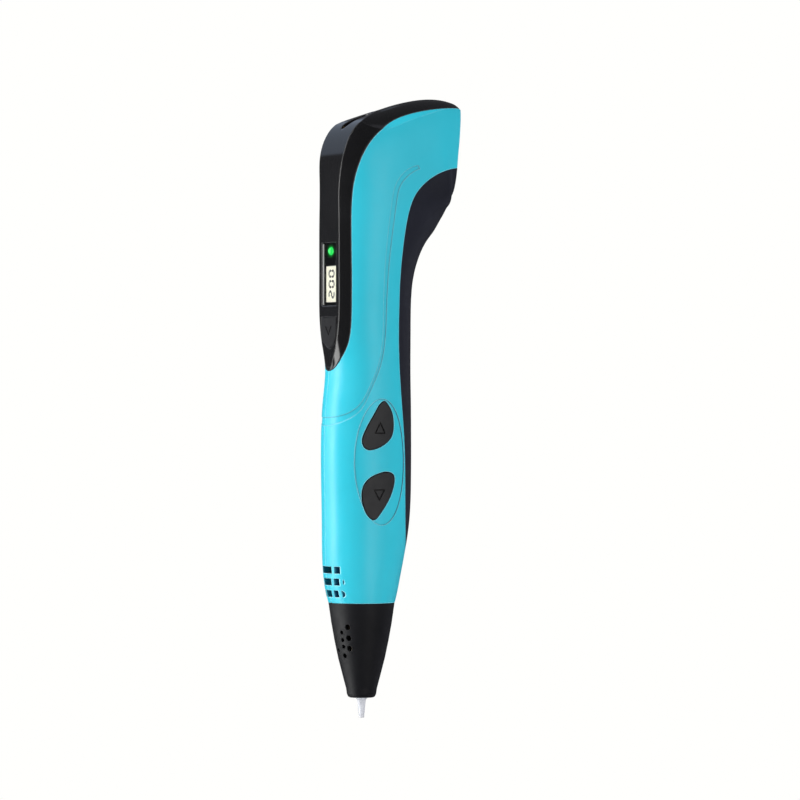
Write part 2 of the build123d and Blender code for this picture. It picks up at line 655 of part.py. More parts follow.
def idler_lever():
    """Sprung arm that carries the idler roller."""
    hub = rod(1.9, (PIVOT_X, -2.9, PIVOT_Z), (PIVOT_X, 1.8, PIVOT_Z))
    arm = Polyline((-8.2, 170.2), (-4.9, 170.2), (-1.9, 163.0), (-3.6, 160.9), (-5.4, 160.0), (-5.4, 154.9),
                   (-6.6, 154.9), (-6.9, 163.0), close=True)
    lever = extruded_y(make_face(arm), (-2.9, -1.7)) + hub
    lever += block((-6.6, -5.4), (-1.8, 0.6), (155.0, 158.4))
    lever += rod(0.85, (IDLER_X, -1.7, IDLER_Z), (IDLER_X, 1.4, IDLER_Z))
    return lever - rod(1.05, (PIVOT_X, -4, PIVOT_Z), (PIVOT_X, 3, PIVOT_Z))


def idler_roller():
    roller = rod(IDLER_R, (IDLER_X, -1.5, IDLER_Z), (IDLER_X, 1.3, IDLER_Z))
    return roller - rod(0.9, (IDLER_X, -2, IDLER_Z), (IDLER_X, 2, IDLER_Z))


def idler_spring():
    """Compression spring between the chassis lug and the lever's tail."""
    path = Pos(-8.2, -0.6, 156.7) * (Rot(0, 90, 0) * Helix(0.42, 1.4, 1.0))
    start = Plane(origin=path @ 0, z_dir=path % 0)
    return sweep(start * Circle(0.16), path, is_frenet=True)


# ---------------------------------------------------------------- electronics
def main_board():
    board = block((-7.0, 7.0), MAIN_BOARD_Y, (60.0, 130.0))
    return board - block((2.6, 5.6), (7, 9), (94.0, 97.0))


def main_board_chips():
    """Controller, motor driver, heater transistor and regulator, all on the board's back."""
    back = MAIN_BOARD_Y[1]
    sizes = [((-3.5, 3.5), 1.4, (96.5, 103.5)), ((-4.5, -0.5), 1.3, (108.0, 113.0)),
             ((-3.2, 3.2), 2.0, (76.0, 82.5)), ((1.2, 4.6), 1.5, (107.5, 114.0))]
    return Compound([block(x, (back, back + tall), z).solid() for x, tall, z in sizes])


def main_board_passives():
    """Resistors, ceramic capacitors and two tall capacitors."""
    back = MAIN_BOARD_Y[1]
    parts = []
    for i in range(8):
        z = 86.0 + 1.15 * i
        parts.append(block((-4.6, -3.8), (back, back + 0.5), (z, z + 0.6)).solid())
    for x in (-2.3, 2.3):
        parts.append(rod(1.6, (x, back, 89.5), (x, back + 2.8, 89.5)).solid())
    parts.append(block((1.0, 3.0), (back, back + 1.0), (69.0, 70.6)).solid())
    parts.append(block((-3.0, -1.0), (back, back + 1.0), (69.0, 70.6)).solid())
    return Compound(parts)


def wire_connectors():
    """Plugs for the motor, power and heater leads."""
    back, front = MAIN_BOARD_Y[1], MAIN_BOARD_Y[0]
    plugs = [
        block((0.6, 4.6), (back, back + 2.6), (124.6, 129.0)),
        block((-4.6, -0.6), (back, back + 2.6), (124.6, 129.0)),
        block((-2.4, 2.4), (front - 2.4, front), (61.0, 65.0)),
    ]
    return Compound([p.solid() for p in plugs])


def button_board():
    board = block(BUTTON_BOARD_X, (-4.3, 5.4), (55.0, 96.0))
    for y in BUTTON_SCREWS_Y:
        board -= rod(0.75, (5, y, BUTTON_SCREWS_Z), (8, y, BUTTON_SCREWS_Z))
    return board


def display_board():
    board = block((-5.9, 5.9), DISPLAY_BOARD_Y, (107.0, 148.5))
    for x in DISPLAY_SCREWS_X:
        board -= rod(0.65, (x, -8, DISPLAY_SCREWS_Z), (x, -4, DISPLAY_SCREWS_Z))
    return board


def side_switch(y, z):
    """Tact switch housing under a feed button."""
    solid = block((BUTTON_BOARD_X[1], 7.6), (y - 2.1, y + 2.1), (z - 2.1, z + 2.1))
    return solid - rod(0.85, (6.85, y, z), (9, y, z))


def mode_switch():
    solid = block((-2.1, 2.1), (-7.6, DISPLAY_BOARD_Y[0]), (111.6, 115.8))
    return solid - rod(0.85, (0, -9, 113.7), (0, -6.65, 113.7))


def triangle_groove(glyph):
    """Outline groove of an arrow mark, side view."""
    outer = offset(make_face(Polyline(*glyph, close=True)), 0.28)
    inner = offset(make_face(Polyline(*glyph, close=True)), -0.18)
    return outer - inner


@lru_cache
def side_cap(outline_name):
    """A feed button: a cap that follows the body's surface, with a lip behind the wall."""
    outline, glyph = {"feed": (FEED_OUTLINE, FEED_GLYPH), "retract": (RETRACT_OUTLINE, RETRACT_GLYPH)}[outline_name]
    top = oval_body(BUTTON_PROUD) & extruded_x(button_face(outline, -BUTTON_GAP), (5, 30))
    lip = oval_body(WALL + 0.1, 3.0) & extruded_x(button_face(outline, BUTTON_LIP), (5, 30))
    cap = (top + lip) - oval_body(WALL + 0.7, 3.0)
    mark = extruded_x(triangle_groove(glyph), (5, 30)) - oval_body(BUTTON_PROUD + MARK_DEPTH)
    return cap - mark


def side_plunger(y, z, cap):
    pin = rod(0.8, (7.3, y, z), (9.6, y, z))
    return (pin - cap) & block((7.0, 8.9), (y - 2, y + 2), (z - 2, z + 2))


@lru_cache
def mode_cap():
    cap = extruded_y(mode_face(0), (FACET_Y - 0.15, -8.1))
    cap += extruded_y(mode_face(0.5), (-8.65, -8.1)) & oval_body(WALL + 0.12, 3.0)
    cap = cap & cover_zone(0.55)
    arrow = Polyline((-2.2, 115.2), (0, 112.6), (2.2, 115.2), (1.75, 115.6), (0, 113.5), (-1.75, 115.6), close=True)
    return cap - extruded_y(make_face(arrow), (-12, FACET_Y + 0.05))


def mode_plunger():
    return rod(0.8, (0, -8.1, 113.7), (0, -7.3, 113.7))


def display_lens():
    lens = block((-LENS_HALF, LENS_HALF), LENS_Y, LENS_Z)
    return lens - rod(LED_R + 0.1, (0, -14, LED_Z), (0, -7, LED_Z))


def lcd_glass():
    return block((-LCD_HALF, LCD_HALF), (LENS_Y[1] + 0.1, -8.6), LCD_Z)


def lcd_backlight():
    return block((-LCD_HALF - 0.5, LCD_HALF + 0.5), (-8.6, DISPLAY_BOARD_Y[0]), (LCD_Z[0] - 0.6, LCD_Z[1] + 0.6))


def status_led():
    stem = rod(LED_R, (0, DISPLAY_BOARD_Y[0], LED_Z), (0, -9.5, LED_Z))
    dome = Pos(0, -9.5, LED_Z) * Sphere(LED_R)
    return stem + dome


def power_jack():
    socket = block((-3.2, 3.2), (15.6, 24.5), (170.2, 176.2)) + rod(3.0, (0, 24.5, JACK_Z), (0, 26.5, JACK_Z))
    return socket - rod(1.8, (0, 17.5, JACK_Z), (0, 27, JACK_Z))


def jack_pin():
    return rod(0.65, (0, 17.5, JACK_Z), (0, 26.0, JACK_Z))


def motor_leads():
    starts = [
        [(4.4, 22.2, 159.55), (4.4, 22.2, 156.8)],
        [(4.0, 22.25, 165.95), (3.1, 22.2, 163.8), (3.1, 22.2, 156.8)],
    ]
    leads = []
    for start in starts:
        x = start[-1][0]
        path = start + [(x - 0.5, 19.6, 151.0), (x - 0.9, 15.0, 143.0), (x - 1.2, 11.3, 134.5), (x - 1.2, 9.5, 129.1)]
        leads.append(cable(path, 0.35).solid())
    return Compound(leads)


def jack_leads():
    leads = []
    for x in (-2.2, -0.9):
        path = [(x, 15.4, 172.0), (x - 1.2, 13.6, 171.2), (x - 2.6, 12.6, 166.0), (x - 3.0, 12.2, 156.0),
                (x - 2.6, 11.8, 144.0), (x - 1.6, 10.2, 134.0), (x - 1.2, 9.6, 129.2)]
        leads.append(cable(path, 0.4).solid())
    return Compound(leads)


def heater_leads():
    leads = []
    for x in (-1.7, -0.8):
        path = [(x, 5.9, 60.9), (x, 5.2, 58.0), (x * 0.9, 3.4, 53.0), (x * 0.8, 2.75, 44.0), (x * 0.8, 2.6, 30.0),
                (x * 0.8, 2.6, 22.5)]
        leads.append(cable(path, 0.3).solid())
    return Compound(leads)


def thermistor_leads():
    leads = []
    for x in (1.0, 1.8):
        path = [(x, 5.9, 60.9), (x, 5.2, 58.0), (x, 3.4, 53.0), (x * 0.9, 2.75, 44.0), (x * 0.9, 2.6, 30.0),
                (x * 0.9, 2.6, 23.5)]
        leads.append(cable(path, 0.22).solid())
    return Compound(leads)


def display_ribbon():
    """Flat cable from the display board to the main board."""
    path = Spline((DISPLAY_BOARD_Y[1], 109.0), (-3.6, 106.4), (2.0, 98.0), (5.2, 96.2), (7.1, 95.6))
    strip = trace(path, 0.3)
    return extruded_x(strip, (2.8, 5.2)) & block((2, 6), (DISPLAY_BOARD_Y[1] + 0.01, 7.19), (80, 120))


def board_link():
    """Pin header from the button board to the main board."""
    pins = []
    for z in (67.0, 69.0, 71.0):
        thick = (z - 0.2, z + 0.2)
        bend = block((4.6, 5.0), (4.6, MAIN_BOARD_Y[0]), thick) + block((4.6, 6.0), (4.6, 5.0), thick)
        pins.append(bend.solid())
    return Compound(pins)


# ---------------------------------------------------------------- all nodes
NODES = {
    "shell_left": shell_left,
    "shell_right": shell_right,
    "display_cover": display_cover,
    "back_cover": back_cover,
    "nose_cone": nose_cone,
    "display_lens": display_lens,
    "lcd_glass": lcd_glass,
    "lcd_backlight": lcd_backlight,
    "status_led": status_led,
    "nozzle": nozzle,
    "heater_coil": heater_coil,
    "insulation_sleeve": insulation_sleeve,
    "thermistor": thermistor,
    "hot_end_clamp": hot_end_clamp,
    "guide_tube": guide_tube,
    "inlet_bush": inlet_bush,
    "feed_chassis": feed_chassis,
    "chassis_screws": chassis_screws,
    "board_screws": board_screws,
    "housing_screws": housing_screws,
    "drive_wheel": drive_wheel,
    "output_shaft": output_shaft,
    "output_gear": output_gear,
    "layshaft_gear": layshaft_gear,
    "layshaft_pin": layshaft_pin,
    "gearbox_plates": gearbox_plates,
    "gearbox_posts": gearbox_posts,
    "motor_can": motor_can,
    "motor_magnets": motor_magnets,
    "motor_rotor": motor_rotor,
    "motor_end_cap": motor_end_cap,
    "motor_terminals": motor_terminals,
    "idler_lever": idler_lever,
    "idler_roller": idler_roller,
    "idler_spring": idler_spring,
    "main_board": main_board,
    "main_board_chips": main_board_chips,
    "main_board_passives": main_board_passives,
    "wire_connectors": wire_connectors,
    "button_board": button_board,
    "display_board": display_board,
    "feed_switch": lambda: side_switch(*FEED_SWITCH),
    "retract_switch": lambda: side_switch(*RETRACT_SWITCH),
    "mode_switch": mode_switch,
    "feed_button": lambda: side_cap("feed"),
    "feed_plunger": lambda: side_plunger(*FEED_SWITCH, side_cap("feed")),
    "retract_button": lambda: side_cap("retract"),
    "retract_plunger": lambda: side_plunger(*RETRACT_SWITCH, side_cap("retract")),
    "mode_button": mode_cap,
    "mode_plunger": mode_plunger,
    "power_jack": power_jack,
    "jack_pin": jack_pin,
    "motor_leads": motor_leads,
    "jack_leads": jack_leads,
    "heater_leads": heater_leads,
    "thermistor_leads": thermistor_leads,
    "display_ribbon": display_ribbon,
    "board_link": board_link,
}

for name, make in NODES.items():
    solid = make()
    print(name, round(solid.volume, 2), len(solid.solids()), solid.is_valid, flush=True)
    export_step(solid, f"parts/{name}.step")
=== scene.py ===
"""The looks of the 3D printing pen: a material for each of the record's slots, the display's digits and two
pale strips, a pale floor, studio light and the camera.

Metres, in the row frame: the nozzle tip is the origin, +Z runs up the pen, the display faces -Y.
Texture scales are per metre, so a noise of scale 6500 has a grain about 0.15 mm across.
"""

import math

import bmesh
import bpy
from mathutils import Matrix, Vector


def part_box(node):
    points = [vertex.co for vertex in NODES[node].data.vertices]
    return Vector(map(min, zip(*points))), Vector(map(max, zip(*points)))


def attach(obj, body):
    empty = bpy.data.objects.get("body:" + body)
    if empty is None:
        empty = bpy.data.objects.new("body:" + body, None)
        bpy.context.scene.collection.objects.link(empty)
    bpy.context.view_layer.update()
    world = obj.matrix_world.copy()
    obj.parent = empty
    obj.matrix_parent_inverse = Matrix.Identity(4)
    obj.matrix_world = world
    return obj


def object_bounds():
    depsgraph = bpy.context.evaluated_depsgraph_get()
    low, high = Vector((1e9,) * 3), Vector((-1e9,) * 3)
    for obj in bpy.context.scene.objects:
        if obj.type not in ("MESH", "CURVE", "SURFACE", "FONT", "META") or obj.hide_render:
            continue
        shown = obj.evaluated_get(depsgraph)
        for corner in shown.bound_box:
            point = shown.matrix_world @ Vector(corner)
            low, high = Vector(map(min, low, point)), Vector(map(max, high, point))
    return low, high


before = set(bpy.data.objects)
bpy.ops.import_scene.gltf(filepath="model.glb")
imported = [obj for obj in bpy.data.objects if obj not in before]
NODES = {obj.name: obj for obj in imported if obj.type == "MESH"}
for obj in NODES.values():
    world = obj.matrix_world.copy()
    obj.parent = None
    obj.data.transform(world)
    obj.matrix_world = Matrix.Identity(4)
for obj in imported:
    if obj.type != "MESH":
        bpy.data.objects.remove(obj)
cad_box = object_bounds()
low, high = Vector(cad_box[0]), Vector(cad_box[1])
MM = 0.001

# ---------------------------------------------------------------- camera
AZIMUTH = math.radians(64)          # from the display face's normal towards the feed buttons
TO_CAMERA = Vector((math.sin(AZIMUTH), -math.cos(AZIMUTH), 0))
TO_RIGHT = Vector((math.cos(AZIMUTH), math.sin(AZIMUTH), 0))
LENS, SENSOR = 200.0, 36.0
FRAME_HEIGHT = 0.2361               # what the picture spans at the pen
AIM_RIGHT, AIM_UP = 0.01136, 0.0022  # where the picture's middle is, from the middle of the filament's axis
LOOK_AT = Vector((0, 0, (low.z + high.z) / 2)) + TO_RIGHT * AIM_RIGHT + Vector((0, 0, AIM_UP))

camera_data = bpy.data.cameras.new("camera")
camera_data.lens = LENS
camera_data.sensor_width = SENSOR
camera = bpy.data.objects.new("camera", camera_data)
camera.location = LOOK_AT + TO_CAMERA * (FRAME_HEIGHT * LENS / SENSOR)
camera.rotation_euler = TO_CAMERA.to_track_quat("Z", "Y").to_euler()
bpy.context.scene.collection.objects.link(camera)
bpy.context.scene.camera = camera
bpy.context.scene.view_settings.view_transform = "Standard"


# ---------------------------------------------------------------- node helpers
MIX_FIRST, MIX_SECOND, MIX_RESULT = 6, 7, 2  # the Mix node's colour sockets, whose names aren't unique


class Graph:
    """Adds nodes to one tree. An input that is a socket is linked, and any other value is set."""

    def __init__(self, tree):
        self.tree = tree

    def add(self, kind, inputs=None, **settings):
        node = self.tree.nodes.new(kind)
        for name, value in settings.items():
            setattr(node, name, value)
        for key, value in (inputs or {}).items():
            if isinstance(value, bpy.types.NodeSocket):
                self.tree.links.new(value, node.inputs[key])
            else:
                node.inputs[key].default_value = value
        return node

    def math(self, operation, *values):
        return self.add("ShaderNodeMath", dict(enumerate(values)), operation=operation).outputs[0]

    def vector(self, operation, *values):
        node = self.add("ShaderNodeVectorMath", dict(enumerate(values)), operation=operation)
        gives_number = operation in ("DOT_PRODUCT", "LENGTH", "DISTANCE")
        return node.outputs["Value" if gives_number else "Vector"]

    def ramp(self, value, start, end, first, last):
        """value from start to end gives first to last, smoothly, and stays there outside."""
        inputs = {"Value": value, "From Min": start, "From Max": end, "To Min": first, "To Max": last}
        return self.add("ShaderNodeMapRange", inputs, interpolation_type="SMOOTHSTEP").outputs["Result"]

    def mix(self, factor, first, second):
        inputs = {"Factor": factor, MIX_FIRST: first, MIX_SECOND: second}
        return self.add("ShaderNodeMix", inputs, data_type="RGBA").outputs[MIX_RESULT]

    def noise(self, coords, scale, detail=2.0, rough=0.5, stretch=None):
        if stretch:
            coords = self.add("ShaderNodeMapping", {"Vector": coords, "Scale": stretch}).outputs[0]
        inputs = {"Vector": coords, "Scale": scale, "Detail": detail, "Roughness": rough}
        return self.add("ShaderNodeTexNoise", inputs).outputs["Fac"]

    def wave(self, coords, scale, direction, distortion=0.0):
        inputs = {"Vector": coords, "Scale": scale, "Distortion": distortion}
        return self.add("ShaderNodeTexWave", inputs, bands_direction=direction).outputs["Fac"]


def rgba(colour):
    return (*colour, 1.0)


# ---------------------------------------------------------------- materials
# 1 - the cosine of the softened normal's turn, where the painted edge highlight starts and where it is full.
HIGHLIGHT_REACH = (0.01, 0.25)
HIGHLIGHT_SHARE = 0.6                    # how much of the painted edge highlight is mixed in


class Surface:
    """One material: a Principled shader whose normal is softened within edge millimetres of an edge."""

    def __init__(self, name, roughness=0.4, metallic=0.0, edge=0.15, **constants):
        self.material = bpy.data.materials.new(name)
        self.material.use_nodes = True
        tree = self.material.node_tree
        tree.nodes.clear()
        self.graph = Graph(tree)
        inputs = {"Roughness": roughness, "Metallic": metallic}
        self.shader = self.graph.add("ShaderNodeBsdfPrincipled", inputs)
        for key, value in constants.items():
            self.shader.inputs[key.replace("_", " ")].default_value = value
        output = self.graph.add("ShaderNodeOutputMaterial")
        tree.links.new(self.shader.outputs[0], output.inputs[0])
        self.coords = self.graph.add("ShaderNodeTexCoord").outputs["Object"]
        self.bevel = self.graph.add("ShaderNodeBevel", {"Radius": edge * MM}, samples=6).outputs[0]
        self.normal = self.bevel

    def link(self, socket, key):
        self.graph.tree.links.new(socket, self.shader.inputs[key])

    def edges(self, start, end):
        """1 on rounded edges and 0 on open faces."""
        flat = self.graph.add("ShaderNodeNewGeometry").outputs["Normal"]
        bend = self.graph.math("SUBTRACT", 1.0, self.graph.vector("DOT_PRODUCT", flat, self.bevel))
        return self.graph.ramp(bend, start, end, 0.0, 1.0)

    def colour(self, base, other, factor, edge_highlight=None, highlight_share=HIGHLIGHT_SHARE, highlight_reach=HIGHLIGHT_REACH):
        """base mixed with other by factor, with a highlight painted on the edges where an edge colour is
        given.
        """
        mixed = self.graph.mix(factor, rgba(base), rgba(other))
        if edge_highlight:
            # A highlight painted on the rounded edges.
            share = self.graph.math("MULTIPLY", self.edges(*highlight_reach), highlight_share)
            mixed = self.graph.mix(share, mixed, rgba(edge_highlight))
        self.link(mixed, "Base Color")
        self.mixed = mixed

    def painted_recess_shade(self, colour, reach, deep, shallow):
        """Painted shade: the colour set so far goes over to this one in slots and grooves up to reach
        millimetres wide.
        """
        occlusion = self.graph.add("ShaderNodeAmbientOcclusion", {"Distance": reach * MM}, samples=6)
        share = self.graph.ramp(occlusion.outputs["AO"], deep, shallow, 1.0, 0.0)
        self.link(self.graph.mix(share, self.mixed, rgba(colour)), "Base Color")

    def relief(self, height, depth):
        """Adds a bump of that depth, in millimetres, on what is there already."""
        inputs = {"Height": height, "Distance": depth * MM, "Strength": 1.0, "Normal": self.normal}
        self.normal = self.graph.add("ShaderNodeBump", inputs).outputs[0]

    def done(self):
        self.link(self.normal, "Normal")
        return self.material


def moulded(name, base, other, roughness, grain_depth=0.006, grain=6500, edge=0.18, edge_highlight=None,
            highlight_share=HIGHLIGHT_SHARE, highlight_reach=HIGHLIGHT_REACH, recess=None, **constants):
    """Moulded plastic: fine spark-eroded grain, slow tone drift, uneven gloss, and if given a painted edge
    highlight and painted shade in recesses.
    """
    s = Surface(name, edge=edge, **constants)
    drift = s.graph.noise(s.coords, 60, 3)
    fine = s.graph.noise(s.coords, grain, 3, 0.6)
    blend = s.graph.math("ADD", s.graph.math("MULTIPLY", drift, 0.7), s.graph.math("MULTIPLY", fine, 0.3))
    s.colour(base, other, s.graph.ramp(blend, 0.35, 0.65, 0.0, 1.0), edge_highlight, highlight_share, highlight_reach)
    # Painted shade in slots, grooves and gaps.
    if recess:
        s.painted_recess_shade(*recess)
    patches = s.graph.noise(s.coords, 350, 4, 0.65)
    s.link(s.graph.ramp(patches, 0.3, 0.7, roughness - 0.04, roughness + 0.05), "Roughness")
    s.relief(fine, grain_depth)
    return s.done()


def polished(name, base, other, roughness, edge, edge_highlight):
    """Gloss plastic: a slight ripple, hairline scratches and a little dust in the gloss."""
    s = Surface(name, edge=edge)
    cloud = s.graph.noise(s.coords, 80, 3)
    # The edges get a painted highlight.
    s.colour(base, other, s.graph.ramp(cloud, 0.35, 0.7, 0.0, 1.0), edge_highlight)
    scratches = s.graph.noise(s.coords, 900, 4, 0.7, stretch=(6.0, 6.0, 0.35))
    dust = s.graph.ramp(s.graph.noise(s.coords, 5200, 2), 0.66, 0.72, 0.0, 0.12)
    rough = s.graph.math("ADD", s.graph.ramp(scratches, 0.45, 0.75, roughness, roughness + 0.07), dust)
    s.link(rough, "Roughness")
    s.relief(s.graph.noise(s.coords, 420, 1), 0.004)
    return s.done()


def machined(name, base, other, roughness, stretch, edge_highlight=(0.9, 0.9, 0.9)):
    """Metal with tool marks drawn out along one axis, with a highlight painted on its edges."""
    s = Surface(name, metallic=1.0, edge=0.08)
    marks = s.graph.noise(s.coords, 2500, 4, 0.7, stretch=stretch)
    stain = s.graph.noise(s.coords, 300, 3)
    s.colour(base, other, s.graph.ramp(stain, 0.35, 0.7, 0.0, 1.0), edge_highlight, 0.5)
    s.link(s.graph.ramp(marks, 0.3, 0.7, roughness - 0.08, roughness + 0.12), "Roughness")
    s.relief(marks, 0.004)
    return s.done()


def circuit_board(name):
    """Green solder mask over glass cloth, with traces in relief and gold pads."""
    s = Surface(name, edge=0.06, IOR=1.5)
    g = s.graph
    cells = g.add("ShaderNodeTexVoronoi", {"Vector": s.coords, "Scale": 420.0}, distance="CHEBYCHEV",
                  feature="F1").outputs["Distance"]
    trace = g.ramp(g.math("PINGPONG", cells, 0.12), 0.045, 0.07, 0.0, 1.0)
    cloth = g.math("MULTIPLY", g.wave(s.coords, 900, "X"), g.wave(s.coords, 900, "Z"))
    mask = g.mix(trace, rgba((0.004, 0.055, 0.022)), rgba((0.012, 0.13, 0.05)))
    mask = g.mix(g.math("MULTIPLY", cloth, 0.35), mask, rgba((0.03, 0.16, 0.07)))
    pads = g.add("ShaderNodeTexVoronoi", {"Vector": s.coords, "Scale": 330.0}).outputs["Distance"]
    pad = g.ramp(pads, 0.13, 0.16, 1.0, 0.0)
    s.link(g.mix(pad, mask, rgba((0.72, 0.5, 0.18))), "Base Color")
    s.link(pad, "Metallic")
    s.link(g.ramp(pad, 0.0, 1.0, 0.34, 0.25), "Roughness")
    s.relief(trace, 0.02)
    s.relief(cloth, 0.006)
    return s.done()


def braided(name, base, other, scale, depth):
    """Sleeve woven from two sets of strands."""
    s = Surface(name, roughness=0.75, edge=0.05)
    g = s.graph
    turn = (0, math.radians(45), math.radians(45))
    turned = g.add("ShaderNodeMapping", {"Vector": s.coords, "Rotation": turn}).outputs[0]
    over = g.wave(turned, scale, "X")
    under = g.wave(turned, scale, "Z")
    strands = g.math("MAXIMUM", over, under)
    fuzz = g.noise(s.coords, 5000, 3)
    s.colour(base, other, g.math("MULTIPLY", strands, fuzz))
    s.relief(strands, depth)
    return s.done()


def banded(name, base, other, scale, direction, depth, roughness=0.45, metallic=0.0):
    """Bands laid side by side, such as a winding's wires or a flat cable's cores."""
    s = Surface(name, roughness=roughness, metallic=metallic, edge=0.05)
    g = s.graph
    bands = g.wave(s.coords, scale, direction, 0.3)
    smear = g.noise(s.coords, 1400, 3)
    factor = g.math("MULTIPLY", g.ramp(bands, 0.2, 0.8, 0.0, 1.0), g.ramp(smear, 0.2, 0.6, 0.5, 1.0))
    s.colour(base, other, factor)
    s.relief(bands, depth)
    return s.done()


SOILED_HEIGHT = 2.2 * MM            # how far up from the nozzle's tip the melted plastic has greyed it


def ceramic(name):
    """Fired white ceramic: faintly mottled, and greyed at the very tip."""
    s = Surface(name, edge=0.12, IOR=1.6)
    g = s.graph
    mottle = g.noise(s.coords, 900, 4, 0.6)
    white = g.mix(g.ramp(mottle, 0.35, 0.7, 0.0, 1.0), rgba((0.50, 0.515, 0.56)), rgba((0.57, 0.585, 0.63)))
    height = g.add("ShaderNodeSeparateXYZ", {0: s.coords}).outputs["Z"]
    soiled = g.ramp(height, 0.0, SOILED_HEIGHT, 0.35, 0.0)
    s.link(g.mix(soiled, white, rgba((0.36, 0.355, 0.37))), "Base Color")
    s.link(g.ramp(mottle, 0.3, 0.7, 0.28, 0.42), "Roughness")
    s.relief(mottle, 0.008)
    return s.done()


def lit_panel(name, node):
    """Back-lit display panel: cream, dimmer towards its ends, with a faint dot grid."""
    s = Surface(name, roughness=0.35, edge=0.02)
    g = s.graph
    lower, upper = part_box(node)
    middle = (lower + upper) / 2
    x, _, z = g.add("ShaderNodeSeparateXYZ", {0: s.coords}).outputs
    off_x = g.math("ABSOLUTE", g.math("SUBTRACT", x, middle.x))
    off_z = g.math("ABSOLUTE", g.math("SUBTRACT", z, middle.z))
    glow = g.math("MULTIPLY", g.ramp(off_x, 0.0, (upper.x - lower.x) / 2, 1.0, 0.9),
                  g.ramp(off_z, 0.0, (upper.z - lower.z) / 2, 1.0, 0.9))
    dots = g.math("MULTIPLY", g.wave(s.coords, 1300, "X"), g.wave(s.coords, 1300, "Z"))
    grid = g.ramp(dots, 0.0, 0.3, 0.95, 1.0)
    s.link(g.mix(g.noise(s.coords, 500), rgba((0.55, 0.52, 0.40)), rgba((0.62, 0.60, 0.47))), "Base Color")
    s.shader.inputs["Emission Color"].default_value = rgba((1.0, 0.96, 0.78))
    s.link(g.math("MULTIPLY", glow, grid), "Emission Strength")
    return s.done()


def lit_dome(name, node):
    """Status light: a bright core in a green moulding."""
    s = Surface(name, roughness=0.25, edge=0.05, IOR=1.45)
    g = s.graph
    lower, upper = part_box(node)
    middle = (lower + upper) / 2
    off = g.vector("DISTANCE", s.coords, (middle.x, lower.y, middle.z))
    radius = (upper.x - lower.x) / 2
    core = g.ramp(off, 0.0, 1.15 * radius, 1.0, 0.75)
    s.colour((0.0, 0.10, 0.01), (0.0, 0.16, 0.03), g.noise(s.coords, 1200, 2))
    s.link(g.mix(core, rgba((0.005, 0.62, 0.05)), rgba((0.03, 0.86, 0.13))), "Emission Color")
    s.link(core, "Emission Strength")
    return s.done()


# Painted glow of the status light in the window: each ramp's start and end, in the status light's radii, and
# its strength at each.
HALO_SHAPE = (0.7, 0.0, 1.0)        # the halo lies in the window's plane, and is wider across it
HALO_RING = (0.85, 1.15, 0.85, 0.10)
HALO_FADE = (1.1, 1.8, 1.0, 0.0)


def window(name):
    """Clear display window, with a painted glow of the status light's green in it."""
    s = Surface(name, roughness=0.03, edge=0.06, IOR=1.49, Transmission_Weight=1.0)
    g = s.graph
    smears = g.noise(s.coords, 700, 4, 0.7)
    s.link(g.ramp(smears, 0.45, 0.75, 0.02, 0.08), "Roughness")
    lower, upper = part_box("status_led")
    middle = (lower + upper) / 2
    offset = g.vector("MULTIPLY", g.vector("SUBTRACT", s.coords, tuple(middle)), HALO_SHAPE)
    off = g.vector("LENGTH", offset)
    radius = (upper.x - lower.x) / 2
    s.colour((0.78, 0.80, 0.80), (0.84, 0.85, 0.85), smears)
    # Painted glow: the status light's green, as emission in the window round it.
    s.shader.inputs["Emission Color"].default_value = rgba((0.01, 0.62, 0.07))
    ring, fade = (g.ramp(off, radius * start, radius * end, first, last)
                  for start, end, first, last in (HALO_RING, HALO_FADE))
    s.link(g.math("MULTIPLY", ring, fade), "Emission Strength")
    return s.done()


# The third cyan is a highlight painted on the blue plastic's edges.
CYAN, CYAN_2, CYAN_EDGE_HIGHLIGHT = (0.012, 0.405, 0.520), (0.016, 0.425, 0.545), (0.35, 0.78, 0.87)
# Painted shade in recesses: its colour, how wide the recesses may be in millimetres, and how open they are
# where that shade is full and where it ends.
BLUE_RECESS_SHADE = ((0.001, 0.035, 0.11), 3.0, 0.55, 0.80)
BLACK_RECESS_SHADE = ((0.001, 0.001, 0.001), 0.8, 0.6, 0.9)


